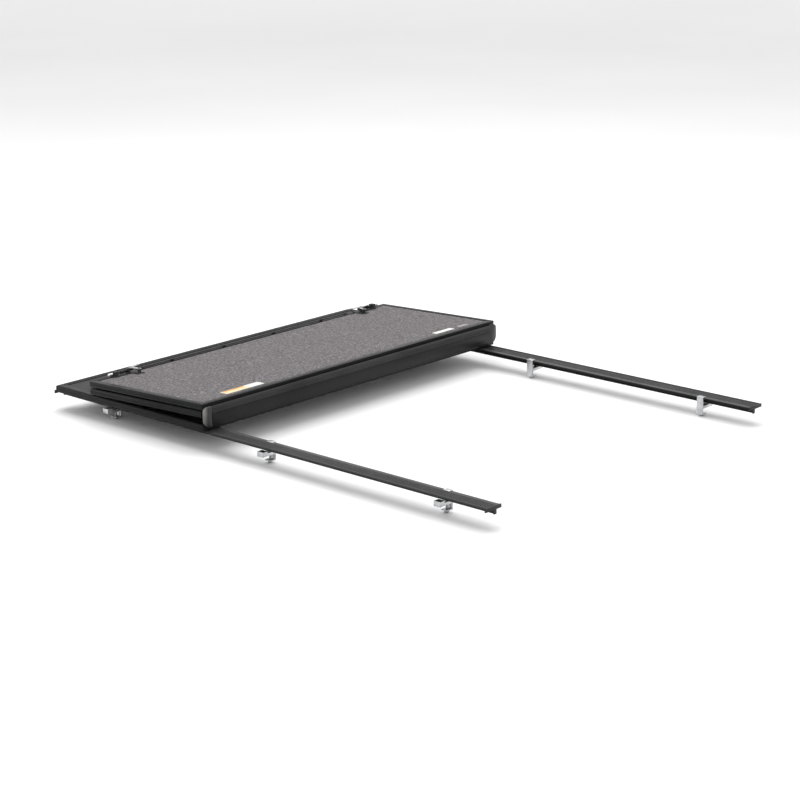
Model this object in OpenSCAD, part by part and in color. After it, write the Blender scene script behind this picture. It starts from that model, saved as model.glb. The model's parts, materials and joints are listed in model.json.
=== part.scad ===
// Hard folding tonneau cover, shown folded at the cab end of its two side rails.
// X runs across the truck (+X is the passenger side), Y towards the cab, Z up.
// The origin is at the middle of the rails, level with the lowest clamp screw.

/* [Overall] */
// Overall width across the panels
cover_w = 1536; // [1480:2:1600]
// Length of a side rail with its end caps
rail_len = 1980; // [1980:2:2060]
// Height of the rail top above the lowest clamp screw
rail_top = 70; // [68:1:80]

/* [Side rails] */
// Distance from the centre line to a rail's inner edge
rail_in = 685; // [680:1:690]
// Width of a rail's top flange
rail_w = 72; // [72:1:76]
// Thickness of a rail's top flange
flange_t = 4; // [3.5:0.5:4]
// Height of the leg that hangs inside the bed
leg_h = 20; // [16:1:20]

/* [Panels] */
// Thickness of each panel
panel_t = 22; // [22:1:23]
// Length of the front panel
front_len = 750; // [730:1:754]
// Length of the middle panel
middle_len = 566; // [560:1:570]
// Length of the rear panel
rear_len = 560; // [550:1:560]
// Angle that the folded panels lean down towards the cab
stack_tilt = 2.4; // [2.2:0.1:2.4]

/* [Hinge web] */
// Distance between the two hinge axes of the web
web_len = 62; // [62:1:66]
// Radius of the round bead that each panel turns on
bead_r = 3.5; // [3:0.1:3.5]

/* [Latches] */
// Radius of a latch bolt
bolt_r = 4.5; // [4:0.1:4.5]
// How far a latch bolt can be pulled back
bolt_travel = 18; // [18:0.5:18.5]

/* [Clamps] */
// Distance between neighbouring clamps on one rail
clamp_pitch = 760; // [700:10:800]
// How far the middle clamp sits behind the middle of the rail
clamp_back = 25; // [0:5:40]
// Room for the bed flange between the rail and a jaw
flange_gap = 18; // [16:1:20]

/* [Hidden] */
$fn = 48;

black = [0.09, 0.09, 0.1];
rubber = [0.05, 0.05, 0.055];
silver = [0.76, 0.77, 0.78];
carpet = [0.5, 0.48, 0.49];
light_grey = [0.55, 0.56, 0.56];
foam = [0.85, 0.82, 0.7];

// Rail section
rail_out = rail_in + rail_w;
leg_x = rail_in + 27;
leg_t = 4;
rib_h = 1.2;
rib_w = 3;
rib_pitch = 6;
rib_first = rail_in + 17;
rib_count = 7;
seal_shelf_w = 11;
seal_shelf_drop = 2.5;
seal_w = 9;
seal_top = 2.6;
end_cap_t = 6;
rail_body = rail_len - 2 * end_cap_t;
flange_under = rail_top - flange_t;

// Panel section, measured inwards from a panel's edge and up from its underside
panel_rest = 3;
panel_z = rail_top + panel_rest;
frame_w = 30;
tube_w = 16;
lip_t = 1.6;
under_lip_w = 6;
edge_r = 6;
tube_wall = 2;
tube_outer_wall = 3;
skin_t = 1.4;
liner_t = 2;
key_play = 0.2;
key_leg = 60;

// Hinge beads and the web that joins the front and middle panels
hinge_depth = 6;
hinge_gap = 6.8;
bead_play = 0.08;
neck_t = 2.2;
web_cap_t = 34;
web_cap_top_r = 16;
web_cap_low_r = 30;
web_reach = cover_w / 2 - web_cap_t;
bead_reach = web_reach - 2;
web_half_t = hinge_depth;
groove_open = 24;
hinge_a = [212, panel_z + panel_t - hinge_depth];
hinge_b = [hinge_a[0], hinge_a[1] + web_len];

// The stack of the middle and rear panels, seen from the upper hinge
stack_gap = 2;
middle_under = panel_t - hinge_depth;
rear_under = -hinge_depth - stack_gap - panel_t;
stack_end = hinge_gap + middle_len;

// Latches, measured down from a panel's underside
bolt_z = -12.2;
bolt_tip = 702;
bolt_end = 590;
bolt_pin_x = 597;
bolt_pin_r = 2.5;
collar = [644, 649];
collar_r = 7;
outer_guide = [664, 682];
inner_guide = [608, 616];
guide_h = 19;
guide_half_w = 10;
fit_play = 0.06;
base_t = 3;
lever_z = -19.2;
lever_t = 2.3;
lever_arm = 34;
lever_pivot_x = bolt_pin_x - bolt_travel / 2;
pivot_r = 3;
middle_latch_line = middle_len - 26;
rear_latch_line = rear_len - 44;
cable_r = 2.5;
cable_offset = 12;
cable_reach = 536;
cable_z = -5;

// Clamps
clamp_w = 26;
screw_x = rail_in + 12;
screw_r = 4;
jaw_top = flange_under - flange_gap;
jaw_arm_t = 10;
jaw_pad_h = 8;
clamp_floor = 8;
clamp_plate = 4;

// Front panel hold-downs
hold_x = 655;
hold_y = 800;
stud_r = 4;
knob_r = 20;
knob_h = 20;

// ---------- Placing ----------

// A panel's own frame has v = 0 at its hinge edge and z = 0 at its underside
module on_front_panel() {
    translate([0, hinge_a[0] + hinge_gap, panel_z]) children();
}

module on_stack() {
    translate([0, hinge_b[0], hinge_b[1]]) rotate([-stack_tilt, 0, 0]) children();
}

module on_middle_panel() {
    on_stack() translate([0, hinge_gap, middle_under]) mirror([0, 0, 1]) children();
}

module on_rear_panel() {
    on_stack() translate([0, stack_end, rear_under]) mirror([0, 1, 0]) children();
}

module on_side(side) {
    if (side < 0) mirror([1, 0, 0]) children();
    else children();
}

module both_sides() {
    for (side = [-1, 1]) on_side(side) children();
}

// Points along an arc, both ends included
function arc(centre, r, from, to, steps) =
    [for (k = [0 : steps]) let (a = from + (to - from) * k / steps)
        [centre[0] + r * cos(a), centre[1] + r * sin(a)]];

// Extrudes a section drawn in Y and Z along X, centred on the truck's middle
module along_x(length) {
    translate([-length / 2, 0, 0]) rotate([90, 0, 90]) linear_extrude(height = length) children();
}

// Extrudes a section drawn in X and Z along Y, from y_start on
module along_y(length, y_start) {
    translate([0, y_start + length, 0]) rotate([90, 0, 0]) linear_extrude(height = length) children();
}

// ---------- Side rails ----------

module rail_section() {
    difference() {
        union() {
            translate([rail_in, flange_under]) square([rail_w, flange_t]);
            translate([leg_x, flange_under - leg_h]) square([leg_t, leg_h + flange_t / 2]);
            translate([leg_x - 3, flange_under - leg_h]) square([leg_t + 3, 3]);
        }
        translate([rail_out - seal_shelf_w, rail_top - seal_shelf_drop])
            square([seal_shelf_w + 1, seal_shelf_drop + 1]);
        for (i = [0 : rib_count - 1])
            translate([rib_first + i * rib_pitch, rail_top - rib_h])
                square([rib_pitch - rib_w, rib_h + 1]);
    }
}

module side_rail(side) {
    color(black) on_side(side) along_y(rail_body, -rail_body / 2) rail_section();
}

// A D-shaped section: a bulb of the given width on a flat foot, drawn from its foot up
module bulb_section(width, height) {
    r = width / 2;
    polygon(concat([[r, 0]], arc([0, height - r], r, 0, 180, 14), [[-r, 0]]));
}

module rail_seal(side) {
    color(rubber) on_side(side) along_y(rail_body, -rail_body / 2)
        translate([rail_out - seal_shelf_w + 1 + seal_w / 2, rail_top - seal_shelf_drop])
            bulb_section(seal_w, seal_shelf_drop + seal_top);
}

module rail_end_caps() {
    cap_over = 1.5;
    color(black) both_sides() for (end = [-rail_len / 2, rail_len / 2 - end_cap_t])
        along_y(end_cap_t, end) difference() {
            translate([rail_in - cap_over, flange_under - leg_h - cap_over])
                square([rail_w + 2 * cap_over, flange_t + leg_h + 2 * cap_over]);
            translate([rail_in - cap_over - 1, flange_under - leg_h - cap_over - 1])
                square([leg_x - rail_in - 3, leg_h - 4]);
            translate([leg_x + leg_t + cap_over, flange_under - leg_h - cap_over - 1])
                square([rail_w, leg_h - 4]);
        }
}

// ---------- Clamps ----------

// Clamps 1 to 3 are on the driver side from the tailgate forwards, 4 to 6 on the other side
function clamp_y(i) = (i % 3 - 1) * clamp_pitch - clamp_back;
function clamp_side(i) = i < 3 ? -1 : 1;

module at_clamp(i) {
    on_side(clamp_side(i)) translate([0, clamp_y(i), 0]) children();
}

module clamp_block(x, z, size_x, size_z) {
    translate([x, -clamp_w / 2, z]) cube([size_x, clamp_w, size_z]);
}

module clamp_bracket() {
    hook_w = 15;
    hook_t = 2.4;
    difference() {
        union() {
            clamp_block(rail_in - clamp_plate, clamp_floor, clamp_plate, rail_top + hook_t - clamp_floor);
            clamp_block(rail_in - clamp_plate, rail_top, clamp_plate + hook_w, hook_t);
            clamp_block(rail_in - clamp_plate, flange_under - clamp_plate, 27, clamp_plate);
            clamp_block(rail_in - clamp_plate, clamp_floor, 27, clamp_plate);
        }
        translate([screw_x, 0, clamp_floor - 1]) cylinder(r = screw_r + 0.3, h = clamp_plate + 2);
        translate([screw_x, 0, flange_under - clamp_plate - 1])
            cylinder(r = screw_r + 0.3, h = clamp_plate + 2);
    }
}

module clamp_brackets() {
    color(silver) for (i = [0 : 5]) at_clamp(i) clamp_bracket();
}

module clamp_jaw(i) {
    arm_z = jaw_top - jaw_pad_h - jaw_arm_t;
    arm_x = rail_in + 1;
    pad_x = leg_x + leg_t + 6;
    jaw_end = pad_x + 22;
    color(silver) at_clamp(i) difference() {
        union() {
            clamp_block(arm_x, arm_z, jaw_end - arm_x, jaw_arm_t);
            clamp_block(pad_x, arm_z, jaw_end - pad_x, jaw_arm_t + jaw_pad_h);
        }
        translate([screw_x, 0, arm_z - 1]) cylinder(r = screw_r + bead_play, h = jaw_arm_t + 2);
        for (k = [0 : 3])
            translate([pad_x + 2 + k * 5, -clamp_w / 2 - 1, jaw_top - 1]) cube([3, clamp_w + 2, 2]);
    }
}

module clamp_screws() {
    head_r = 7.5;
    color(silver) for (i = [0 : 5]) at_clamp(i) translate([screw_x, 0, 0]) {
        difference() {
            cylinder(r = head_r, h = clamp_floor, $fn = 6);
            translate([0, 0, -1]) cylinder(r = 3, h = 5, $fn = 6);
        }
        translate([0, 0, clamp_floor - 0.5]) cylinder(r = screw_r, h = flange_under - clamp_floor - 0.5);
    }
}

// ---------- Hold-downs of the front panel ----------

module hold_down_brackets() {
    strap = [78, 30, 4];
    spacer_w = 50;
    stud_len = 38;
    color(black) both_sides() translate([0, hold_y, 0]) {
        translate([rail_in + 23 - strap[0], -strap[1] / 2, flange_under - strap[2]]) cube(strap);
        translate([rail_in - 5 - spacer_w, -strap[1] / 2, flange_under - 0.5])
            cube([spacer_w, strap[1], panel_z - flange_under + 0.5]);
        translate([hold_x, 0, panel_z - stud_len]) cylinder(r = stud_r, h = stud_len - 1);
    }
}

module hold_down_knob(side) {
    lobe_r = 5.5;
    top = flange_under - 4.3;
    color(black) on_side(side) translate([hold_x, hold_y, top - knob_h]) difference() {
        union() {
            cylinder(r = knob_r - 3, h = knob_h);
            for (k = [0 : 5]) rotate(k * 60) translate([knob_r - lobe_r + 1, 0, 0])
                cylinder(r = lobe_r, h = knob_h - 6);
        }
        translate([0, 0, -1]) cylinder(r = stud_r + fit_play, h = knob_h + 2);
    }
}

// ---------- Panels ----------

module frame_section() {
    difference() {
        union() {
            square([tube_w, panel_t - edge_r]);
            translate([edge_r, 0]) square([tube_w - edge_r, panel_t]);
            translate([edge_r, panel_t - edge_r]) circle(edge_r);
            translate([tube_w - 1, 0]) square([under_lip_w + 1, lip_t]);
            translate([tube_w - 1, panel_t - lip_t]) square([frame_w - tube_w + 1, lip_t]);
        }
        translate([tube_outer_wall, tube_wall])
            square([tube_w - tube_outer_wall - tube_wall, panel_t - tube_wall - tube_outer_wall]);
        // Two shallow grooves run along the outer face
        for (z = [6, 11]) translate([-1, z]) square([1.8, 1.6]);
    }
}

module mitre(points) {
    intersection() {
        children();
        translate([0, 0, -1]) linear_extrude(height = panel_t + 2) polygon(points);
    }
}

// The frame member along the v = 0 edge
module near_member() {
    half = cover_w / 2;
    color(black) mitre([[-half, -1], [half, -1], [half, 0], [half - frame_w, frame_w],
                        [frame_w - half, frame_w], [-half, 0]])
        along_x(cover_w) frame_section();
}

module far_member(length) {
    translate([0, length, 0]) mirror([0, 1, 0]) near_member();
}

module side_member(side, length) {
    half = cover_w / 2;
    inner = half - frame_w;
    color(black) on_side(side)
        mitre([[half, 0], [half, length], [inner, length - frame_w], [inner, frame_w]])
        translate([half, 0, 0]) along_y(length, 0) mirror([1, 0]) frame_section();
}

// The round bead that a panel turns on, on a thin neck
module hinge_bead() {
    z = panel_t - hinge_depth;
    along_x(2 * bead_reach) {
        translate([-hinge_gap, z]) circle(bead_r);
        translate([-hinge_gap, z - neck_t / 2]) square([hinge_gap + 0.5, neck_t]);
    }
}

module infill(length, z, thickness) {
    w = cover_w - 2 * tube_w;
    translate([-w / 2, tube_w, z]) cube([w, length - 2 * tube_w, thickness]);
}

module panel_skin(length) {
    color(black) infill(length, panel_t - lip_t - skin_t, skin_t);
}

module panel_core(length) {
    z = lip_t + liner_t;
    color(foam) infill(length, z, panel_t - lip_t - skin_t - z);
}

module panel_liner(length) {
    color(carpet) infill(length, lip_t, liner_t);
}

module corner_keys(length) {
    in = tube_outer_wall + key_play;
    w = tube_w - tube_outer_wall - tube_wall - 2 * key_play;
    h = panel_t - tube_wall - tube_outer_wall - 2 * key_play;
    both_sides() for (end = [0, 1])
        translate([0, end * length, 0]) mirror([0, end, 0])
            translate([cover_w / 2 - in, in, tube_wall + key_play]) {
                translate([-key_leg, 0, 0]) cube([key_leg, w, h]);
                translate([-w, 0, 0]) cube([w, key_leg, h]);
            }
}

module front_panel_rear_frame() {
    color(black) on_front_panel() {
        near_member();
        hinge_bead();
    }
}

module middle_panel_web_frame() {
    color(black) on_middle_panel() {
        near_member();
        hinge_bead();
    }
}

module front_panel_corner_keys() {
    color(silver) on_front_panel() corner_keys(front_len);
}

module folding_panel_corner_keys() {
    color(silver) on_middle_panel() corner_keys(middle_len);
    color(silver) on_rear_panel() corner_keys(rear_len);
}

// A bulb seal that hangs from a panel's underside
module bulb_seal(v, width, depth, reach) {
    color(rubber) along_x(2 * reach)
        translate([v + width / 2, 0]) mirror([0, 1]) bulb_section(width, depth);
}

// ---------- Hinge web ----------

// The open side of a groove, between two angles
module groove_mouth(from, to) {
    reach = 14;
    polygon(concat([[0, 0]], arc([0, 0], reach, from, to, 4)));
}

module web_outline() {
    translate([-web_half_t, 0]) square([2 * web_half_t, web_len]);
    circle(web_half_t);
    translate([0, web_len]) circle(web_half_t);
}

// A raised face with ribs above it, on the side of the web that shows when the cover is folded
module web_face() {
    proud = 1.6;
    face = [9, 42];
    rib = 2.6;
    rib_step = 4.8;
    translate([-web_half_t - proud, face[0]]) square([proud + 0.5, face[1] - face[0]]);
    for (k = [0 : 3]) translate([-web_half_t - proud, face[1] + rib_step - rib + k * rib_step])
        square([proud + 0.5, rib]);
}

module web_section() {
    wall = 2;
    solid_end = 7;
    difference() {
        union() {
            web_outline();
            web_face();
        }
        circle(bead_r + bead_play);
        translate([0, web_len]) circle(bead_r + bead_play);
        groove_mouth(-90 - groove_open, groove_open);
        translate([0, web_len]) groove_mouth(-groove_open, 90 + groove_open);
        translate([wall - web_half_t, solid_end])
            square([2 * (web_half_t - wall), web_len - 2 * solid_end]);
    }
}

module on_web() {
    translate([0, hinge_a[0], hinge_a[1]]) children();
}

module hinge_web() {
    color(black) on_web() along_x(2 * web_reach) web_section();
}

// The end cap seen from the rear: rounded at the top and swept in towards its lower corner
module web_cap_outline() {
    top = web_len + web_half_t;
    low = -web_half_t;
    top_centre = [web_cap_t - web_cap_top_r, top - web_cap_top_r];
    low_centre = [web_cap_t - web_cap_low_r, low + web_cap_low_r];
    polygon(concat([[0, low]], arc(low_centre, web_cap_low_r, -90, 0, 12),
                   arc(top_centre, web_cap_top_r, 0, 90, 8), [[0, top]]));
}

module hinge_web_end_caps() {
    color(light_grey) on_web() both_sides() translate([web_reach, 0, 0]) intersection() {
        translate([web_cap_t / 2, 0, 0]) along_x(web_cap_t) web_outline();
        along_y(4 * web_half_t, -2 * web_half_t) web_cap_outline();
    }
}

// A soft strip bent round the fold between the middle and rear panels
module fold_hinge_strip() {
    tab_t = 2;
    bend_out = 6;
    bend_in = 4;
    mid = -hinge_depth - stack_gap / 2;
    color(rubber) on_stack() along_x(2 * bead_reach) {
        for (s = [-1, 1]) translate([stack_end, mid + (s < 0 ? -14 : 3)]) square([tab_t, 11]);
        translate([stack_end + tab_t, mid]) difference() {
            circle(bend_out);
            circle(bend_in);
            translate([-2 * bend_out, -bend_out]) square([2 * bend_out, 2 * bend_out]);
        }
    }
}

// ---------- Latches ----------

// One latch lies along X, on the passenger side of its panel, with y = 0 on its bolt
module latch_base() {
    foot = [lever_pivot_x - 16, -14];
    difference() {
        union() {
            translate([foot[0], foot[1], -base_t]) cube([outer_guide[1] - foot[0], 28, base_t]);
            translate([foot[0], -lever_arm - 10, -base_t]) cube([32, lever_arm - 3, base_t]);
            for (g = [inner_guide, outer_guide])
                translate([g[0], -guide_half_w, -guide_h]) cube([g[1] - g[0], 2 * guide_half_w, guide_h - 1]);
        }
        translate([inner_guide[0] - 1, 0, bolt_z]) rotate([0, 90, 0])
            cylinder(r = bolt_r + fit_play, h = outer_guide[1] - inner_guide[0] + 2);
    }
}

module latch_bolt() {
    bevel = 2 * bolt_r;
    difference() {
        union() {
            translate([bolt_end, 0, bolt_z]) rotate([0, 90, 0]) cylinder(r = bolt_r, h = bolt_tip - bolt_end);
            translate([collar[0], 0, bolt_z]) rotate([0, 90, 0])
                cylinder(r = collar_r, h = collar[1] - collar[0]);
            translate([bolt_pin_x, 0, lever_z]) cylinder(r = bolt_pin_r, h = bolt_z - lever_z);
        }
        // The nose slopes so that the rail pushes the bolt back as the panel comes down
        translate([bolt_tip, 0, bolt_z - bolt_r]) rotate([0, -45, 0])
            translate([-bevel, -bevel, -2 * bevel]) cube([3 * bevel, 2 * bevel, 2 * bevel]);
    }
}

// The outline of a flat bar with round ends
module bar(from, to, width) {
    d = to - from;
    turn = atan2(d[1], d[0]);
    polygon(concat(arc(from, width / 2, turn + 90, turn + 270, 11),
                   arc(to, width / 2, turn - 90, turn + 90, 11)));
}

module latch_lever() {
    pivot = [lever_pivot_x, -lever_arm];
    lean = atan2(bolt_pin_x - lever_pivot_x, lever_arm);
    along_arm = [sin(lean), cos(lean)];
    difference() {
        translate([0, 0, lever_z]) linear_extrude(height = lever_t) difference() {
            union() {
                bar(pivot, [bolt_pin_x, 2], 14);
                bar([bolt_pin_x - 2, 3], [bolt_pin_x - 46, 16], 11);
            }
            bar(pivot + (lever_arm - 1.5) * along_arm, pivot + (lever_arm + 2.5) * along_arm,
                2 * bolt_pin_r + 0.6);
        }
        translate([pivot[0], pivot[1], lever_z - 1]) cylinder(r = pivot_r + fit_play, h = lever_t + 2);
        // A finger hole at the lever's end
        translate([bolt_pin_x - 45, 15.7, lever_z - 1]) cylinder(r = 3, h = lever_t + 2);
    }
}

module lever_pin() {
    translate([lever_pivot_x, -lever_arm, 0]) {
        translate([0, 0, lever_z + lever_t + 0.1]) cylinder(r = 6, h = -base_t - lever_z - lever_t - 0.1);
        translate([0, 0, lever_z - 0.2]) cylinder(r = pivot_r, h = 4);
        translate([0, 0, lever_z - 1.4]) cylinder(r = 5.5, h = 1.3);
    }
}

module latch_spring() {
    turns = 7;
    wire_r = 0.7;
    coil_r = bolt_r + 1.4;
    pitch = (collar[0] - inner_guide[1] - 2 * wire_r - 0.4) / (turns - 1);
    for (k = [0 : turns - 1])
        translate([inner_guide[1] + wire_r + 0.2 + k * pitch, 0, bolt_z]) rotate([0, 90, 0])
            rotate_extrude() translate([coil_r, 0]) circle(wire_r, $fn = 16);
}

module latch_screw_set() {
    head_h = 1.8;
    spots = [[lever_pivot_x - 11, -28], [lever_pivot_x + 11, -24],
             [630, 11], [630, -11], [656, 11], [656, -11]];
    for (at = spots) translate([at[0], at[1], -base_t - head_h]) cylinder(r = 2.8, h = head_h);
}

module each_latch() {
    both_sides() {
        on_middle_panel() translate([0, middle_latch_line, 0]) children();
        on_rear_panel() translate([0, rear_latch_line, 0]) children();
    }
}

module at_middle_latch(side) {
    on_side(side) on_middle_panel() translate([0, middle_latch_line, 0]) children();
}

module at_rear_latch(side) {
    on_side(side) on_rear_panel() translate([0, rear_latch_line, 0]) children();
}

module release_cable(line) {
    ferrule = 14;
    translate([0, line + cable_offset, cable_z]) {
        translate([-cable_reach, 0, 0]) rotate([0, 90, 0]) cylinder(r = cable_r, h = 2 * cable_reach);
        both_sides() translate([cable_reach - ferrule, 0, 0]) rotate([0, 90, 0])
            cylinder(r = cable_r + 1.2, h = ferrule);
    }
}

module clip_row(line) {
    clip = [10, 10, 8.6];
    spacing = 260;
    for (k = [0 : 3]) translate([(k - 1.5) * spacing, line + cable_offset, 0]) difference() {
        translate([-clip[0] / 2, -clip[1] / 2, -clip[2]]) cube(clip);
        translate([-clip[0], 0, cable_z]) rotate([0, 90, 0])
            cylinder(r = cable_r + fit_play, h = 2 * clip[0]);
    }
}

// ---------- Nodes ----------

side_rail(-1);  // side_rail_left
side_rail(1);  // side_rail_right
rail_seal(-1);  // rail_seal_left
rail_seal(1);  // rail_seal_right
rail_end_caps();
clamp_brackets();
clamp_screws();
hold_down_brackets();
clamp_jaw(0);  // clamp_jaw_1
clamp_jaw(1);  // clamp_jaw_2
clamp_jaw(2);  // clamp_jaw_3
clamp_jaw(3);  // clamp_jaw_4
clamp_jaw(4);  // clamp_jaw_5
clamp_jaw(5);  // clamp_jaw_6
hold_down_knob(-1);  // hold_down_knob_left
hold_down_knob(1);  // hold_down_knob_right

front_panel_rear_frame();
on_front_panel() far_member(front_len);  // front_panel_front_frame
on_front_panel() side_member(-1, front_len);  // front_panel_left_frame
on_front_panel() side_member(1, front_len);  // front_panel_right_frame
on_front_panel() panel_skin(front_len);  // front_panel_skin
on_front_panel() panel_core(front_len);  // front_panel_core
on_front_panel() panel_liner(front_len);  // front_panel_liner
front_panel_corner_keys();
on_front_panel() bulb_seal(front_len - 28, 24, 16, rail_in - 3);  // bulkhead_seal

hinge_web();
hinge_web_end_caps();

middle_panel_web_frame();
on_middle_panel() far_member(middle_len);  // middle_panel_fold_frame
on_middle_panel() side_member(-1, middle_len);  // middle_panel_left_frame
on_middle_panel() side_member(1, middle_len);  // middle_panel_right_frame
on_middle_panel() panel_skin(middle_len);  // middle_panel_skin
on_middle_panel() panel_core(middle_len);  // middle_panel_core
on_middle_panel() panel_liner(middle_len);  // middle_panel_liner

on_rear_panel() near_member();  // rear_panel_fold_frame
on_rear_panel() far_member(rear_len);  // rear_panel_tailgate_frame
on_rear_panel() side_member(-1, rear_len);  // rear_panel_left_frame
on_rear_panel() side_member(1, rear_len);  // rear_panel_right_frame
on_rear_panel() panel_skin(rear_len);  // rear_panel_skin
on_rear_panel() panel_core(rear_len);  // rear_panel_core
on_rear_panel() panel_liner(rear_len);  // rear_panel_liner

folding_panel_corner_keys();
fold_hinge_strip();
on_rear_panel() bulb_seal(rear_len - 26, 22, 14, 660);  // tailgate_seal

color(black) for (side = [-1, 1]) at_middle_latch(side) latch_base();  // middle_latch_bases
color(black) for (side = [-1, 1]) at_rear_latch(side) latch_base();  // rear_latch_bases
color(silver) at_middle_latch(-1) latch_bolt();  // middle_bolt_left
color(silver) at_middle_latch(1) latch_bolt();  // middle_bolt_right
color(silver) at_rear_latch(-1) latch_bolt();  // rear_bolt_left
color(silver) at_rear_latch(1) latch_bolt();  // rear_bolt_right
color(silver) at_middle_latch(-1) latch_lever();  // middle_lever_left
color(silver) at_middle_latch(1) latch_lever();  // middle_lever_right
color(silver) at_rear_latch(-1) latch_lever();  // rear_lever_left
color(silver) at_rear_latch(1) latch_lever();  // rear_lever_right
color(silver) each_latch() latch_spring();  // latch_springs
color(silver) each_latch() lever_pin();  // lever_pins
color(silver) each_latch() latch_screw_set();  // latch_screws
color(black) on_middle_panel() release_cable(middle_latch_line);  // middle_release_cable
color(black) on_rear_panel() release_cable(rear_latch_line);  // rear_release_cable
color(black) {  // cable_clips
    on_middle_panel() clip_row(middle_latch_line);
    on_rear_panel() clip_row(rear_latch_line);
}
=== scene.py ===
import json
import math

import bmesh
import bpy
from mathutils import Matrix, Vector, noise


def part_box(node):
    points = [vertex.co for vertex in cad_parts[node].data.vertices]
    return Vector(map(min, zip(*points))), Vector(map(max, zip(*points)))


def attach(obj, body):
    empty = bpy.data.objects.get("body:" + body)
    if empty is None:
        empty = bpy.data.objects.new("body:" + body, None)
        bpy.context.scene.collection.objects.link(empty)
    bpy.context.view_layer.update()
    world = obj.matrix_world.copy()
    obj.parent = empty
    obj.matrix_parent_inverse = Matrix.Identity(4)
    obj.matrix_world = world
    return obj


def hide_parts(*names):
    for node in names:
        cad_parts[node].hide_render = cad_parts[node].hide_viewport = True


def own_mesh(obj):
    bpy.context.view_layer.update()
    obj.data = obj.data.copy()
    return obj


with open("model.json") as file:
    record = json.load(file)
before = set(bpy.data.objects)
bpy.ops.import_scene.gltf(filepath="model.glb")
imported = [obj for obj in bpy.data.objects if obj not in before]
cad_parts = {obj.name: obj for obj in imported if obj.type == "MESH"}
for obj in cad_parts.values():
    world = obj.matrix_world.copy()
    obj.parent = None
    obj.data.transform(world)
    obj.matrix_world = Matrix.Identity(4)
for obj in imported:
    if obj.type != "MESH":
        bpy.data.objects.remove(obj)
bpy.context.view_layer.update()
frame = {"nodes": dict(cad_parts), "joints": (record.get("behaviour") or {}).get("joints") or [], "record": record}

MM = 0.001
record = frame["record"]
joints = {j["name"]: j for j in frame["joints"]}
body_of = {n: b for b, members in record["behaviour"]["bodies"].items() for n in members}

ROOT = "rails_and_front_panel"
STACK = "folding_panels"
LATCHES = [(panel, side) for panel in ("middle", "rear") for side in ("left", "right")]

# How far from the middle a latch spring's inner end and the bolt's collar lie
SPRING_SEAT = (0.616, 0.644)
# Where the part of a bolt that stands out of its guide begins, from the middle
BOLT_NOSE = 0.684
# Where the painted highlight on the outer side of the web's end caps begins, from the middle
CAP_HIGHLIGHT_FROM = 0.754
# Height of the web's ribbed band above its lower hinge
RIB_BAND = 43 * MM
# Points closer than this are one point
SAME_POINT = 2e-6

# The folded panels' own frame: origin on the web's upper hinge, x across, y along the panel, z out of it
LOWER_HINGE = Vector(joints["web_fold"]["pos_m"])
UPPER_HINGE = Vector(joints["panel_fold"]["pos_m"])
TILT = math.radians(joints["panel_fold"]["range_deg"][1] - 90)
STACK_FRAME = Matrix.Translation(UPPER_HINGE) @ Matrix.Rotation(-TILT, 4, "X")

# ---------- Camera ----------

CAMERA_AT = Vector((-5.592, -4.907, 2.205))
LOOK_AT = Vector((0.0, 0.02, 0.055))
LENS_MM = 99.0
SENSOR_MM = 36.0
FAR_CLIP = 100.0


def make_camera():
    data = bpy.data.cameras.new("camera")
    data.lens = LENS_MM
    data.sensor_width = SENSOR_MM
    data.clip_end = FAR_CLIP
    camera = bpy.data.objects.new("camera", data)
    camera.location = CAMERA_AT
    camera.rotation_euler = (LOOK_AT - CAMERA_AT).to_track_quat("-Z", "Y").to_euler()
    bpy.context.scene.collection.objects.link(camera)
    bpy.context.scene.camera = camera


make_camera()

# ---------- Materials ----------


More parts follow.
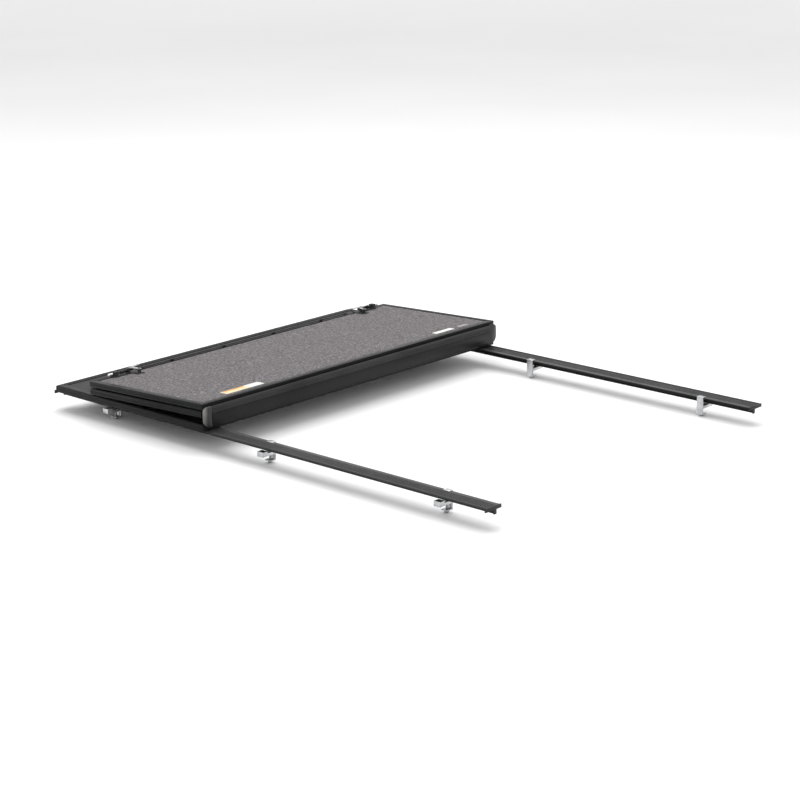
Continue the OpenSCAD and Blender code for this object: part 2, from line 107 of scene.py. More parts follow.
class Shader:
    """A material's node tree, with short calls for the nodes that the finishes below share."""

    def __init__(self, name):
        self.material = bpy.data.materials.new(name)
        self.material.use_nodes = True
        self.nodes = self.material.node_tree.nodes
        self.links = self.material.node_tree.links
        self.surface = self.nodes["Principled BSDF"]
        self.where = self.nodes.new("ShaderNodeTexCoord").outputs["Object"]

    def set(self, **values):
        for name, value in values.items():
            self.surface.inputs[name.replace("_", " ")].default_value = value
        return self

    def link(self, output, target):
        self.links.new(output, target)

    def stretched(self, scale):
        node = self.nodes.new("ShaderNodeMapping")
        node.inputs["Scale"].default_value = scale
        self.link(self.where, node.inputs["Vector"])
        return node.outputs["Vector"]

    def noise(self, scale, detail=2.0, roughness=0.5, stretch=(1, 1, 1)):
        node = self.nodes.new("ShaderNodeTexNoise")
        node.inputs["Scale"].default_value = scale
        node.inputs["Detail"].default_value = detail
        node.inputs["Roughness"].default_value = roughness
        self.link(self.stretched(stretch), node.inputs["Vector"])
        return node.outputs["Fac"]

    def cells(self, scale, feature="F1"):
        node = self.nodes.new("ShaderNodeTexVoronoi")
        node.feature = feature
        node.inputs["Scale"].default_value = scale
        self.link(self.where, node.inputs["Vector"])
        return node.outputs["Distance"]

    def bands(self, scale):
        """Bands across X."""
        node = self.nodes.new("ShaderNodeTexWave")
        node.bands_direction = "X"
        node.inputs["Scale"].default_value = scale
        self.link(self.where, node.inputs["Vector"])
        return node.outputs["Fac"]

    def place(self, axis):
        """X, Y or Z of the point, in the object's own frame."""
        node = self.nodes.new("ShaderNodeSeparateXYZ")
        self.link(self.where, node.inputs[0])
        return node.outputs[axis]

    def off_centre(self):
        """The distance from the middle of the cover, across it."""
        node = self.nodes.new("ShaderNodeMath")
        node.operation = "ABSOLUTE"
        self.link(self.place("X"), node.inputs[0])
        return node.outputs[0]

    def rise(self, value, low, high, top=1.0):
        """0 below low, top above high, and even between them."""
        node = self.nodes.new("ShaderNodeMapRange")
        node.inputs["From Min"].default_value = low
        node.inputs["From Max"].default_value = high
        node.inputs["To Max"].default_value = top
        self.link(value, node.inputs["Value"])
        return node.outputs[0]

    def ramp(self, factor, stops):
        node = self.nodes.new("ShaderNodeValToRGB")
        ramp = node.color_ramp
        while len(ramp.elements) < len(stops):
            ramp.elements.new(0.5)
        for element, (at, colour) in zip(ramp.elements, stops):
            element.position = at
            element.color = (*colour, 1.0)
        self.link(factor, node.inputs["Fac"])
        return node.outputs["Color"]

    def grey(self, factor, low, high, start=0.35, end=0.65):
        return self.ramp(factor, [(start, (low,) * 3), (end, (high,) * 3)])

    def mix(self, factor, a, b):
        """From a to b, each an output or a colour."""
        node = self.nodes.new("ShaderNodeMix")
        node.data_type = "RGBA"
        share, first, second = node.inputs[0], node.inputs[6], node.inputs[7]
        self.link(factor, share)
        for value, socket in ((a, first), (b, second)):
            if isinstance(value, bpy.types.NodeSocket):
                self.link(value, socket)
            else:
                socket.default_value = (*value, 1.0)
        return node.outputs[2]

    def add(self, a, b, weight):
        """a + b * weight."""
        node = self.nodes.new("ShaderNodeMath")
        node.operation = "MULTIPLY_ADD"
        self.link(b, node.inputs[0])
        node.inputs[1].default_value = weight
        self.link(a, node.inputs[2])
        return node.outputs[0]

    def blend_of(self, *parts):
        """The sum of (output, share) pairs."""
        (first, share), *others = parts
        node = self.nodes.new("ShaderNodeMath")
        node.operation = "MULTIPLY"
        self.link(first, node.inputs[0])
        node.inputs[1].default_value = share
        total = node.outputs[0]
        for output, share in others:
            total = self.add(total, output, share)
        return total

    def colour(self, output):
        self.link(output, self.surface.inputs["Base Color"])

    def rough(self, output):
        self.link(output, self.surface.inputs["Roughness"])

    def bump(self, height, depth, strength=1.0):
        node = self.nodes.new("ShaderNodeBump")
        node.inputs["Strength"].default_value = strength
        node.inputs["Distance"].default_value = depth
        self.link(height, node.inputs["Height"])
        self.link(node.outputs["Normal"], self.surface.inputs["Normal"])


def extruded_black(name, along, dark, light):
    """Black anodised aluminium with the faint lines that a die leaves along an extrusion."""
    s = Shader(name).set(Specular_IOR_Level=0.15)
    stretch = [1.0, 1.0, 1.0]
    stretch[along] = 0.01
    lines = s.noise(420, 3, 0.6, stretch)
    haze = s.noise(6, 4, 0.6)
    s.colour(s.mix(s.grey(haze, 0.0, 1.0), dark, light))
    s.rough(s.grey(s.add(lines, haze, 0.5), 0.36, 0.52, 0.5, 1.0))
    s.bump(lines, 0.00012, 0.5)
    return s.material


def ribbed_web(name, band_from):
    """The web's extrusion: satin black, with the ribbed band along its top painted paler, a painted reflection on
    its ribs.
    """
    s = Shader(name).set(Specular_IOR_Level=0.15)
    lines = s.noise(420, 3, 0.6, (0.01, 1.0, 1.0))
    haze = s.noise(6, 4, 0.6)
    # The ribbed band is painted paler: a painted reflection on its ribs
    band = s.rise(s.place("Z"), band_from, band_from + MM)
    smooth = s.grey(haze, 0.0075, 0.0125)
    ribs_painted_highlight = s.grey(haze, 0.026, 0.038)
    s.colour(s.mix(band, smooth, ribs_painted_highlight))
    s.rough(s.grey(s.add(lines, haze, 0.5), 0.36, 0.52, 0.5, 1.0))
    s.bump(lines, 0.00012, 0.5)
    return s.material


def grooved_rail(name, top):
    """The rail's extrusion: paler on its top, with painted shade in its grooves and on every face below its top.
    """
    s = Shader(name).set(Specular_IOR_Level=0.15)
    lines = s.noise(420, 3, 0.6, (1.0, 0.01, 1.0))
    haze = s.noise(6, 4, 0.6)
    # Every face below the rail's top is painted darker: painted shade in the grooves and recesses
    height = s.rise(s.place("Z"), top - MM, top - 0.3 * MM)
    groove_painted_shade = s.grey(haze, 0.008, 0.014)
    crest = s.grey(haze, 0.058, 0.085)
    s.colour(s.mix(height, groove_painted_shade, crest))
    s.rough(s.grey(s.add(lines, haze, 0.5), 0.36, 0.52, 0.5, 1.0))
    s.bump(lines, 0.00012, 0.5)
    return s.material


def moulded(name, dark, light, rough_low, rough_high, gloss):
    """Injection-moulded plastic with a fine spark-eroded grain."""
    s = Shader(name).set(Specular_IOR_Level=gloss)
    fine = s.noise(900, 2, 0.5)
    haze = s.noise(9, 4, 0.6)
    s.colour(s.mix(s.grey(haze, 0.0, 1.0), dark, light))
    s.rough(s.grey(haze, rough_low, rough_high))
    s.bump(fine, 0.00012, 0.6)
    return s.material


def cap_with_painted_highlight(name, highlight_from, low, high):
    """Dark moulded plastic with a painted highlight on its outer side, brightest towards its top and broken into
    patches.
    """
    s = Shader(name).set(Specular_IOR_Level=0.35)
    haze = s.noise(9, 4, 0.6)
    scuffs_and_highlight_patches = s.noise(120, 4, 0.65, (1.0, 1.0, 0.3))
    # The outer side carries a painted highlight, growing towards the top and broken into patches
    side = s.rise(s.off_centre(), highlight_from, highlight_from + 12 * MM)
    highlight_rise = s.rise(s.place("Z"), low, high)
    pale = s.mix(highlight_rise, (0.05, 0.049, 0.047), (0.21, 0.205, 0.19))
    worn_and_highlight_tone = s.mix(s.grey(scuffs_and_highlight_patches, 0.0, 0.35), pale, (0.03, 0.03, 0.029))
    dark = s.grey(haze, 0.013, 0.022)
    s.colour(s.mix(side, dark, worn_and_highlight_tone))
    s.rough(s.grey(scuffs_and_highlight_patches, 0.34, 0.5))
    s.bump(s.noise(900, 2, 0.5), 0.00012, 0.6)
    return s.material


def soft_rubber(name):
    """Black seal rubber with a faint grey bloom."""
    s = Shader(name).set(Specular_IOR_Level=0.35)
    bloom = s.noise(14, 5, 0.65)
    s.colour(s.mix(s.grey(bloom, 0.0, 1.0), (0.013, 0.013, 0.014), (0.03, 0.03, 0.031)))
    s.rough(s.grey(bloom, 0.62, 0.8))
    s.bump(s.noise(700, 2, 0.5), 0.00015, 0.5)
    return s.material


def pebbled_skin(name):
    """Fibreglass skin with a pebble grain."""
    s = Shader(name).set(Specular_IOR_Level=0.3)
    pebbles = s.cells(420, "SMOOTH_F1")
    haze = s.noise(4, 5, 0.6)
    s.colour(s.mix(s.grey(haze, 0.0, 1.0), (0.013, 0.013, 0.014), (0.022, 0.022, 0.023)))
    s.rough(s.grey(haze, 0.5, 0.62))
    s.bump(pebbles, 0.0004, 0.8)
    return s.material


def heather_felt(name):
    """Needle-felt of grey, off-white and dark plum fibres, matted in small soft tufts."""
    s = Shader(name).set(Sheen_Weight=0.12, Sheen_Roughness=0.5, Specular_IOR_Level=0.1, Roughness=0.95)
    fibres = s.noise(750, 3, 0.65)
    across = s.noise(620, 3, 0.6, (0.22, 1.0, 1.0))
    along = s.noise(620, 3, 0.6, (1.0, 0.22, 1.0))
    tufts = s.noise(260, 2, 0.6)
    knots = s.noise(120, 2, 0.5)
    clouds = s.noise(7, 3, 0.5)
    mat = s.blend_of((fibres, 0.2), (across, 0.15), (along, 0.15), (tufts, 0.2), (knots, 0.3))
    base = s.ramp(mat, [
        (0.4, (0.035, 0.031, 0.034)),
        (0.475, (0.08, 0.072, 0.077)),
        (0.525, (0.15, 0.14, 0.145)),
        (0.6, (0.33, 0.315, 0.312)),
    ])
    plum = s.mix(s.grey(tufts, 0.0, 0.35, 0.45, 0.7), base, (0.11, 0.085, 0.098))
    s.colour(s.mix(s.grey(clouds, 0.0, 0.22), plum, (0.13, 0.121, 0.124)))
    s.bump(s.blend_of((mat, 2.2), (tufts, 1.2), (knots, 0.8)), 0.0012, 0.9)
    return s.material


def ribbed_jacket(name):
    """The jacket of a push-pull cable, with the faint turns of its lining."""
    s = Shader(name)
    turns = s.bands(260)
    scuffs_and_highlight_patches = s.noise(40, 4, 0.6)
    s.colour(s.mix(s.grey(scuffs_and_highlight_patches, 0.0, 1.0), (0.012, 0.012, 0.013), (0.026, 0.026, 0.028)))
    s.rough(s.grey(scuffs_and_highlight_patches, 0.4, 0.6))
    s.bump(turns, 0.0003, 0.7)
    return s.material


def bright_metal(name, dark, light, rough_low, rough_high, along=0):
    """Bare or plated metal, brushed along one axis."""
    s = Shader(name).set(Metallic=1.0)
    stretch = [1.0, 1.0, 1.0]
    stretch[along] = 0.04
    brushing = s.noise(900, 3, 0.6, stretch)
    haze = s.noise(30, 4, 0.6)
    s.colour(s.mix(s.grey(haze, 0.0, 1.0), dark, light))
    s.rough(s.grey(s.add(haze, brushing, 0.4), rough_low, rough_high, 0.4, 1.0))
    s.bump(brushing, 0.00008, 0.5)
    return s.material


def bolt_finish(name, nose_from):
    """A blackened latch bolt whose nose, beyond its guide, is coloured bright metal."""
    s = Shader(name).set(Metallic=1.0)
    haze = s.noise(60, 4, 0.6)
    nose = s.rise(s.off_centre(), nose_from, nose_from + 2 * MM)
    dark = s.grey(haze, 0.045, 0.075)
    bright = s.grey(haze, 0.62, 0.8)
    s.colour(s.mix(nose, dark, bright))
    s.rough(s.grey(haze, 0.26, 0.4))
    s.bump(s.noise(900, 3, 0.6, (0.04, 1.0, 1.0)), 0.00008, 0.5)
    return s.material


def foam_board(name):
    """The cut face of a rigid foam board."""
    s = Shader(name)
    cells = s.cells(900)
    s.colour(s.grey(cells, 0.45, 0.62, 0.1, 0.6))
    s.rough(s.grey(cells, 0.75, 0.95, 0.1, 0.6))
    s.bump(cells, 0.0003, 0.6)
    return s.material


def paper_label(name, colour, worn_and_highlight_tone):
    """A printed sticker's plain, slightly smudged surface."""
    s = Shader(name).set(Coat_Weight=0.15, Coat_Roughness=0.3)
    smudge = s.noise(60, 5, 0.65)
    s.colour(s.mix(s.grey(smudge, 0.0, 1.0), colour, worn_and_highlight_tone))
    s.rough(s.grey(smudge, 0.35, 0.55))
    s.bump(s.noise(240, 2, 0.5), 0.0001, 0.3)
    return s.material


FRAME_DARK, FRAME_LIGHT = (0.005, 0.005, 0.0055), (0.009, 0.009, 0.0098)
MATERIALS = {
    "frame_x": extruded_black("anodised_frame_across", 0, FRAME_DARK, FRAME_LIGHT),
    "frame_y": extruded_black("anodised_frame_along", 1, FRAME_DARK, FRAME_LIGHT),
    "web": ribbed_web("anodised_web", LOWER_HINGE.z + RIB_BAND),
    "rail": grooved_rail("anodised_rail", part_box("side_rail_left")[1].z),
    "skin": pebbled_skin("pebbled_skin"),
    "felt": heather_felt("heather_felt"),
    "foam": foam_board("foam_board"),
    "rubber": soft_rubber("soft_rubber"),
    "plastic": moulded("black_plastic", (0.01, 0.01, 0.011), (0.018, 0.018, 0.02), 0.42, 0.56, 0.3),
    "cap": cap_with_painted_highlight("web_cap", CAP_HIGHLIGHT_FROM, LOWER_HINGE.z, UPPER_HINGE.z),
    "cable": ribbed_jacket("cable_jacket"),
    "silver": bright_metal("mill_aluminium", (0.42, 0.43, 0.44), (0.6, 0.6, 0.61), 0.3, 0.45, 2),
    "steel": bright_metal("zinc_steel", (0.34, 0.35, 0.36), (0.52, 0.52, 0.53), 0.24, 0.4, 0),
    "bolt": bolt_finish("bolt_steel", BOLT_NOSE),
    "lever": bright_metal("zinc_lever", (0.42, 0.42, 0.44), (0.56, 0.56, 0.58), 0.3, 0.45, 0),
    "dark_steel": bright_metal("black_zinc_steel", (0.05, 0.05, 0.052), (0.09, 0.09, 0.094), 0.35, 0.5, 0),
    "amber": paper_label("amber_label", (0.7, 0.33, 0.07), (0.58, 0.28, 0.07)),
    "cream": paper_label("cream_label", (0.78, 0.66, 0.36), (0.68, 0.57, 0.33)),
    "white": paper_label("white_label", (0.72, 0.72, 0.69), (0.6, 0.6, 0.58)),
    "faded": paper_label("faded_label", (0.3, 0.29, 0.28), (0.2, 0.195, 0.19)),
}


def finish_of(node):
    """The material of a CAD node that keeps its own shape."""
    rules = [
        (("side_rail",), "rail"),
        (("left_frame", "right_frame"), "frame_y"),
        (("web_end_caps",), "cap"),
        (("_frame",), "frame_x"),
        (("hinge_web",), "web"),
        (("_skin",), "skin"),
        (("_core",), "foam"),
        (("seal", "hinge_strip"), "rubber"),
        (("_cable",), "cable"),
        (("clamp_jaw", "clamp_brackets", "corner_keys"), "silver"),
        (("latch_screws", "lever_pins", "springs"), "dark_steel"),
        (("_bolt_",), "bolt"),
        (("_lever_",), "lever"),
        (("clamp_screws",), "steel"),
    ]
    for words, finish in rules:
        if any(w in node for w in words):
            return finish
    return "plastic"


# ---------- Making pieces ----------


def new_piece(name, mesh, material, body, replaced=()):
    """Adds a mesh as a piece that rides on a body, and stands for CAD nodes if it replaces any."""
    piece = bpy.data.objects.new(name, mesh)
    bpy.context.scene.collection.objects.link(piece)
    mesh.materials.clear()
    mesh.materials.append(MATERIALS[material])
    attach(piece, body)
    if replaced:
        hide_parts(*replaced)
    return piece


def apply_modifiers(piece):
    """Applies a piece's modifiers."""
    graph = bpy.context.evaluated_depsgraph_get()
    mesh = bpy.data.meshes.new_from_object(piece.evaluated_get(graph))
    piece.modifiers.clear()
    piece.data = mesh


def eased(node, width):
    """A copy of a CAD node with its sharp edges broken, which stands for the node."""
    segments, flat_deg, edge_deg, smooth_deg = 2, 1.0, 35, 40
    mesh = frame["nodes"][node].data.copy()
    bm = bmesh.new()
    bm.from_mesh(mesh)
    bmesh.ops.remove_doubles(bm, verts=bm.verts, dist=SAME_POINT)
    bmesh.ops.dissolve_limit(bm, angle_limit=math.radians(flat_deg), verts=bm.verts, edges=bm.edges)
    bm.to_mesh(mesh)
    bm.free()
    mesh.name = node + "_eased"
    piece = new_piece(node + ".eased", mesh, finish_of(node), body_of[node], [node])
    bevel = piece.modifiers.new("edges", "BEVEL")
    bevel.width = width
    bevel.segments = segments
    bevel.limit_method = "ANGLE"
    bevel.angle_limit = math.radians(edge_deg)
    bevel.use_clamp_overlap = False
    apply_modifiers(piece)
    for polygon in piece.data.polygons:
        polygon.use_smooth = True
    piece.data.set_sharp_from_angle(angle=math.radians(smooth_deg))


def carpet(panel, place, length, reach, lip, tuck):
    """A felt headliner: flat where the frame grips it, and standing proud of the frame's lip inside."""
    pitch, thickness, pile, roll = 6 * MM, 2 * MM, 0.3 * MM, 8 * MM
    wave_height, coarse, fine, fine_share = 0.15 * MM, 55, 230, 0.6
    x_steps = round(2 * reach / pitch)
    y_steps = round(length / pitch)
    bm = bmesh.new()

    def height(x, y):
        inside = min(reach - abs(x), y, length - y) - tuck
        rise = min(max(inside / roll, 0.0), 1.0)
        rise = rise * rise * (3 - 2 * rise)
        wave = noise.noise(Vector((x * coarse, y * coarse, 3.1)))
        wave += fine_share * noise.noise(Vector((x * fine, y * fine, 7.7)))
        return rise * (lip + pile + wave_height * wave)

    # The back's points come first, row by row, and then the face's
    points = []
    for is_face in (False, True):
        for j in range(y_steps + 1):
            y = length * j / y_steps
            for i in range(x_steps + 1):
                x = reach * (2 * i / x_steps - 1)
                z = height(x, y) if is_face else -thickness
                points.append(bm.verts.new((x, y, z)))
    width = x_steps + 1
    top = width * (y_steps + 1)

    def quad(a, b, c, d):
        bm.faces.new((points[a], points[b], points[c], points[d]))

    for j in range(y_steps):
        for i in range(x_steps):
            a = j * width + i
            quad(a + width, a + width + 1, a + 1, a)
            quad(top + a, top + a + 1, top + a + width + 1, top + a + width)
    for i in range(x_steps):
        far = y_steps * width + i
        quad(i, i + 1, top + i + 1, top + i)
        quad(far + 1, far, top + far, top + far + 1)
    for j in range(y_steps):
        left, right = j * width, j * width + x_steps
        quad(left + width, left, top + left, top + left + width)
        quad(right, right + width, top + right + width, top + right)
    mesh = bpy.data.meshes.new(panel + "_carpet")
    bm.to_mesh(mesh)
    bm.free()
    mesh.transform(place)
    if place.determinant() < 0:
        mesh.flip_normals()
    for polygon in mesh.polygons:
        polygon.use_smooth = True
    node = panel + "_panel_liner"
    piece = new_piece(panel + "_carpet", mesh, "felt", body_of[node], [node])


def rounded_outline(width, depth, radius):
    """A rectangle with round corners, as points."""
    steps = 6
    points = []
    for cx, cy, start in ((1, 1, 0), (-1, 1, 90), (-1, -1, 180), (1, -1, 270)):
        for k in range(steps + 1):
            a = math.radians(start + 90 * k / steps)
            points.append((cx * (width / 2 - radius) + radius * math.cos(a),
                           cy * (depth / 2 - radius) + radius * math.sin(a)))
    return points


def stitch_rings(bm, rings, cap_start=True, cap_end=True):
    """Joins rings of as many points each into one closed skin."""
    loops = [[bm.verts.new(point) for point in ring] for ring in rings]
    count = len(loops[0])
    for low, high in zip(loops, loops[1:]):
        for k in range(count):
            n = (k + 1) % count
            bm.faces.new((low[k], low[n], high[n], high[k]))
    if cap_start:
        bm.faces.new(reversed(loops[0]))
    if cap_end:
        bm.faces.new(loops[-1])


def finish_mesh(name, bm, place=None, sharp_deg=None):
    """Turns a bmesh into a smooth-shaded mesh, with edges sharper than sharp_deg left sharp."""
    bmesh.ops.recalc_face_normals(bm, faces=bm.faces)
    mesh = bpy.data.meshes.new(name)
    bm.to_mesh(mesh)
    bm.free()
    if place is not None:
        mesh.transform(place)
    for polygon in mesh.polygons:
        polygon.use_smooth = True
    if sharp_deg is not None:
        mesh.set_sharp_from_angle(angle=math.radians(sharp_deg))
    return mesh


def label(name, place, width, depth, material, radius):
    """A blank sticker with round corners and a slightly raised rim."""
    thickness, sharp_deg = 0.5 * MM, 30
    shares = [(1.0, 0.0), (1.0, 0.6), (0.985, 1.0), (0.96, 1.0), (0.955, 0.8)]
    outline = rounded_outline(width, depth, radius)
    bm = bmesh.new()
    stitch_rings(bm, [[(x * s, y * s, thickness * h) for x, y in outline] for s, h in shares])
    new_piece(name, finish_mesh(name, bm, place, sharp_deg), material, STACK)


def hex_radius(flat, angle):
    """The distance from a hexagon's centre to its side, for a given half width across its flats."""
    return flat / math.cos((angle + math.pi / 6) % (math.pi / 3) - math.pi / 6)


def turned_rings(steps, sides=36):
    """Rings about Z, one for each (radius, height, is_hex) step."""
    rings = []
    for radius, height, is_hex in steps:
        ring = []
        for k in range(sides):
            a = 2 * math.pi * k / sides
            r = hex_radius(radius, a) if is_hex else radius
            ring.append((r * math.cos(a), r * math.sin(a), height))
        rings.append(ring)
    return rings


def socket_head(bm, radius, height, flat):
    """A low domed screw head with a hex socket, standing on z = 0."""
    stitch_rings(bm, turned_rings([
        (radius, 0.0, False), (radius, 0.35 * height, False), (0.9 * radius, 0.72 * height, False),
        (0.7 * radius, 0.95 * height, False), (1.25 * flat, height, False), (flat, 0.96 * height, True),
        (flat, 0.35 * height, True)]))


def threaded_shank(bm, root, crest, low, high, pitch):
    """A screw thread about Z: one helical ridge on a core."""
    sides, core_share = 20, 0.995
    turns = (high - low) / pitch
    steps = int(turns * sides)
    profile = [(root, -0.5), (root, -0.36), (crest, -0.08), (crest, 0.08), (root, 0.36), (root, 0.5)]
    rows = []
    for k in range(steps + 1):
        a = 2 * math.pi * k / sides
        z = low + pitch * (0.5 + (turns - 1) * k / steps)
        rows.append([bm.verts.new((r * math.cos(a), r * math.sin(a), z + pitch * dz)) for r, dz in profile])
    for one, two in zip(rows, rows[1:]):
        for j in range(len(profile) - 1):
            bm.faces.new((one[j], two[j], two[j + 1], one[j + 1]))
    core = root * core_share
    stitch_rings(bm, turned_rings([(core, low, False), (core, high, False)], sides))


def islands(node):
    """The separate solids of a CAD node, each as a list of points."""
    mesh = frame["nodes"][node].data
    bm = bmesh.new()
    bm.from_mesh(mesh)
    bmesh.ops.remove_doubles(bm, verts=bm.verts, dist=SAME_POINT)
    seen, found = set(), []
    for start in bm.verts:
        if start in seen:
            continue
        group, stack = [], [start]
        seen.add(start)
        while stack:
            vert = stack.pop()
            group.append(vert.co.copy())
            for edge in vert.link_edges:
                other = edge.other_vert(vert)
                if other not in seen:
                    seen.add(other)
                    stack.append(other)
        found.append(group)
    bm.free()
    return found


def middle_of(points):
    """The middle of the points' box."""
    return Vector([(min(p[i] for p in points) + max(p[i] for p in points)) / 2 for i in range(3)])


def latch_screw_heads():
    """Socket-head screws that stand for the plain heads of the CAD node."""
    head_r, head_h, socket, sharp_deg = 2.8 * MM, 1.8 * MM, 1.3 * MM, 35
    near_base = 15 * MM
    bm = bmesh.new()
    turned = STACK_FRAME.to_3x3()
    upper = middle_of(sum(islands("middle_latch_bases"), []))
    lowered = Matrix.Translation((0, 0, -head_h / 2))
    for points in islands("latch_screws"):
        centre = middle_of(points)
        # Heads on the middle panel face up, and those on the rear panel face down
        faces_up = abs((turned.inverted() @ (centre - upper)).z) < near_base
        spin = Matrix.Rotation(0 if faces_up else math.pi, 3, "X")
        one = bmesh.new()
        socket_head(one, head_r, head_h, socket)
        mesh = finish_mesh("head", one)
        mesh.transform(Matrix.Translation(centre) @ (turned @ spin).to_4x4() @ lowered)
        bm.from_mesh(mesh)
        bpy.data.meshes.remove(mesh)
    mesh = finish_mesh("latch_screw_heads", bm, None, sharp_deg)
    new_piece(mesh.name, mesh, "dark_steel", STACK, ["latch_screws"])


def clamp_bolts():
    """Flanged hex bolts with a rolled thread, which stand for the plain clamp screws."""
    head_flat, head_h, flange_r, top, sharp_deg = 6.5 * MM, 8 * MM, 7.2 * MM, 65.5 * MM, 35
    socket_flat, socket_depth = 2.9 * MM, 4 * MM
    root, crest, pitch, overlap = 3.3 * MM, 3.95 * MM, 1.6 * MM, 0.5 * MM
    socket = [(socket_flat, socket_depth, True), (socket_flat, 0.6 * MM, True), (3.6 * MM, 0.0, True)]
    head = [(5.6 * MM, 0.0, False), (6.2 * MM, 0.5 * MM, True), (head_flat, 1.2 * MM, True),
            (head_flat, 6.2 * MM, True)]
    flange = [(6.9 * MM, 6.6 * MM, False), (flange_r, 7.2 * MM, False), (flange_r, head_h, False)]
    bm = bmesh.new()
    for points in islands("clamp_screws"):
        centre = middle_of(points)
        one = bmesh.new()
        stitch_rings(one, turned_rings(socket + head + flange))
        threaded_shank(one, root, crest, head_h - overlap, top, pitch)
        mesh = finish_mesh("bolt", one, Matrix.Translation((centre.x, centre.y, 0)))
        bm.from_mesh(mesh)
        bpy.data.meshes.remove(mesh)
    mesh = finish_mesh("clamp_bolts", bm, None, sharp_deg)
    new_piece(mesh.name, mesh, "steel", ROOT, ["clamp_screws"])


def spring(panel, side):
    """A helical spring round a latch bolt."""
    wire, radius, turns, steps, sides = 0.7 * MM, 5.9 * MM, 7, 20, 8
    # The first and last turns lie closer together, as on a ground spring
    end_closing = 0.07
    outward = 1 if side == "right" else -1
    inner, collar = SPRING_SEAT
    seat_x = outward * inner
    run = collar - inner - 2 * wire
    axis_y, axis_z = bolt_axis(panel)
    count = turns * steps
    rings = []
    for k in range(count + 1):
        a = 2 * math.pi * k / steps
        share = k / count
        along = share - end_closing * math.sin(2 * math.pi * share)
        x = seat_x + outward * (wire + run * along)
        ring = []
        for j in range(sides):
            b = 2 * math.pi * j / sides
            r = radius + wire * math.cos(b)
            ring.append((x + wire * math.sin(b), axis_y + r * math.cos(a), axis_z + r * math.sin(a)))
        rings.append(ring)
    bm = bmesh.new()
    stitch_rings(bm, rings)
    mesh = finish_mesh(f"{panel}_spring_{side}", bm)
    piece = new_piece(mesh.name, mesh, "dark_steel", STACK, ["latch_springs"])
    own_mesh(piece)


def bolt_axis(panel):
    """Y and Z of a latch bolt's axis: the middle of its round collar."""
    collar_from, collar_to = SPRING_SEAT[1] - MM, SPRING_SEAT[1] + 6 * MM
    node = frame["nodes"][f"{panel}_bolt_right"]
    middle = middle_of([v.co for v in node.data.vertices if collar_from < v.co.x < collar_to])
    return middle.y, middle.z


# ---------- The object ----------

for name, node in frame["nodes"].items():
    for i in range(len(node.data.materials)):
        node.data.materials[i] = MATERIALS[finish_of(name)]
    if not node.data.materials:
        node.data.materials.append(MATERIALS[finish_of(name)])

PANEL_ENDS = {"front": ("rear", "front"), "middle": ("web", "fold"), "rear": ("fold", "tailgate")}
FRAMES = [f"{panel}_panel_{edge}_frame"
          for panel, ends in PANEL_ENDS.items() for edge in (*ends, "left", "right")]
LEVERS = [f"{panel}_lever_{side}" for panel, side in LATCHES]
JAWS = [f"clamp_jaw_{i}" for i in range(1, 7)]
EDGE_WIDTHS = {
    0.5 * MM: FRAMES + ["hinge_web"],
    0.35 * MM: ["side_rail_left", "side_rail_right"] + LEVERS + ["cable_clips"],
    0.8 * MM: ["clamp_brackets", "rail_end_caps", "middle_latch_bases", "rear_latch_bases",
               "hold_down_brackets", "hold_down_knob_left", "hold_down_knob_right"] + JAWS,
    1.5 * MM: ["hinge_web_end_caps"],
}
for width, nodes in EDGE_WIDTHS.items():
    for node in nodes:
        eased(node, width)

# Panel measures that the felt and labels need: the frame's tube and lips, and how the panels are stacked
TUBE_W, UNDER_LIP, LIP, PANEL_T = 16 * MM, 6 * MM, 1.6 * MM, 22 * MM
HINGE_GAP, HINGE_DEPTH, STACK_GAP = 6.8 * MM, 6 * MM, 2 * MM
LINER_T = 2 * MM
MIDDLE_FACE = PANEL_T - HINGE_DEPTH


def stack_length(node):
    """The length of a liner along the tilted stack, from its upright box."""
    low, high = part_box(node)
    return (high.y - low.y - abs(math.sin(TILT)) * LINER_T) / math.cos(TILT)


def turned_over(place):
    """The same place with its face down."""
    return place @ Matrix.Rotation(math.pi, 4, "X")


front_low, front_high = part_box("front_panel_liner")
REACH = front_high.x
MIDDLE_LEN = stack_length("middle_panel_liner")
REAR_LEN = stack_length("rear_panel_liner")
rear_y = HINGE_GAP + MIDDLE_LEN + TUBE_W
rear_z = LIP - HINGE_DEPTH - STACK_GAP - PANEL_T
middle_place = STACK_FRAME @ Matrix.Translation((0, HINGE_GAP + TUBE_W, MIDDLE_FACE - LIP))
rear_place = turned_over(STACK_FRAME @ Matrix.Translation((0, rear_y, rear_z)))
front_place = turned_over(Matrix.Translation((0, front_high.y, front_low.z)))

carpet("middle", middle_place, MIDDLE_LEN, REACH, LIP, UNDER_LIP)
carpet("rear", rear_place, REAR_LEN, REACH, LIP, UNDER_LIP)
carpet("front", front_place, front_high.y - front_low.y, REACH, LIP, UNDER_LIP)

for panel, side in LATCHES:
    spring(panel, side)
latch_screw_heads()
clamp_bolts()


def on_top_carpet(x, along, lift):
    """A place on the middle panel's felt, which faces up while the cover is folded."""
    return STACK_FRAME @ Matrix.Translation((x, along, MIDDLE_FACE + lift))


# Blank labels: name, place across, place along from the label row, layer, width, depth, finish, corner radius
LABEL_ROW = HINGE_GAP + TUBE_W + UNDER_LIP + 28 * MM
LABEL_LIFT, LAYER = 0.5 * MM, 0.5 * MM
LABELS = [
    ("care_label", -530, 0, 0, 180, 36, "white", 4),
    ("care_label_panel", -564, 0, 1, 108, 33, "cream", 4),
    ("care_label_band", -564, 10, 2, 100, 10, "amber", 1.5),
    ("size_label", 522, -6, 0, 105, 24, "white", 4),
    ("batch_label", 632, -6, 0, 50, 18, "faded", 4),
]
for name, x, along, layer, width, depth, finish, radius in LABELS:
    place = on_top_carpet(x * MM, LABEL_ROW + along * MM, LABEL_LIFT + layer * LAYER)
    label(name, place, width * MM, depth * MM, finish, radius * MM)

# ---------- Floor and light ----------


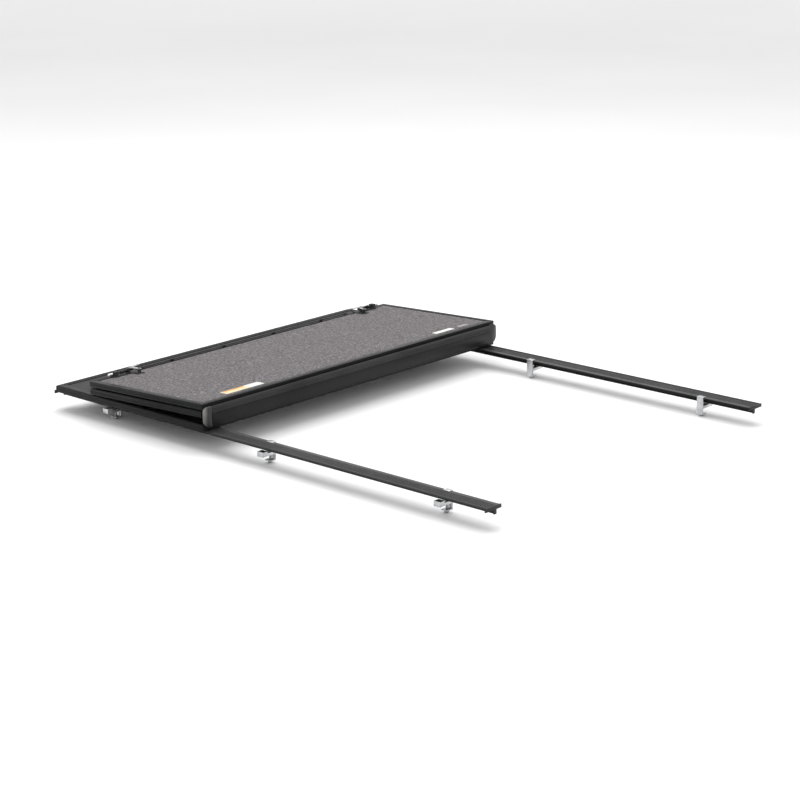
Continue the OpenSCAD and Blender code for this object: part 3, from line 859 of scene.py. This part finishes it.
def make_floor():
    """A round white floor that turns up into a wall far from the object."""
    flat, bend, sides, steps = 11.0, 6.0, 96, 16
    smallest = 0.01
    glow_height, glow_strength = 2.0, 0.3
    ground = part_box("clamp_screws")[0].z
    profile = [(smallest, 0.0)] + [(flat * k / 4, 0.0) for k in range(1, 5)]
    for k in range(1, steps + 1):
        a = 0.5 * math.pi * k / steps
        profile.append((flat + bend * math.sin(a), bend * (1 - math.cos(a))))
    bm = bmesh.new()
    turns = [2 * math.pi * k / sides for k in range(sides)]
    rows = [[bm.verts.new((r * math.cos(a), r * math.sin(a), ground + z)) for a in turns] for r, z in profile]
    bm.faces.new(rows[0])
    for one, two in zip(rows, rows[1:]):
        for k in range(sides):
            n = (k + 1) % sides
            bm.faces.new((one[k], two[k], two[n], one[n]))
    mesh = finish_mesh("floor", bm)
    s = Shader("pale_floor").set(Emission_Color=(1.0, 1.0, 1.0, 1.0))
    s.colour(s.grey(s.noise(0.6, 3, 0.5), 0.86, 0.88))
    s.rough(s.grey(s.noise(2.0, 3, 0.5), 0.75, 0.85))
    # The wall glows a little, so that it looks as white as the lit floor
    glow = s.rise(s.place("Z"), ground, glow_height, glow_strength)
    s.link(glow, s.surface.inputs["Emission Strength"])
    mesh.materials.append(s.material)
    floor = bpy.data.objects.new("floor", mesh)
    bpy.context.scene.collection.objects.link(floor)


def area_light(name, at, target, size, watts):
    data = bpy.data.lights.new(name, "AREA")
    data.shape = "RECTANGLE"
    data.size, data.size_y = size
    data.energy = watts
    light = bpy.data.objects.new(name, data)
    light.location = at
    light.rotation_euler = (Vector(target) - Vector(at)).to_track_quat("-Z", "Y").to_euler()
    bpy.context.scene.collection.objects.link(light)


def make_light():
    """An even white surround, a wide light overhead and a weak one from the camera's side."""
    world = bpy.data.worlds.new("studio")
    world.use_nodes = True
    background = world.node_tree.nodes["Background"]
    background.inputs["Color"].default_value = (1.0, 1.0, 1.0, 1.0)
    background.inputs["Strength"].default_value = 0.85
    bpy.context.scene.world = world
    area_light("overhead", (0.8, 1.5, 5.5), (0, 0, 0), (7.0, 5.0), 300)
    area_light("rear_left", (-6.0, -5.0, 5.0), (0, 0.2, 0.1), (4.0, 3.0), 60)


make_floor()
make_light()
bpy.context.scene.view_settings.view_transform = "Standard"
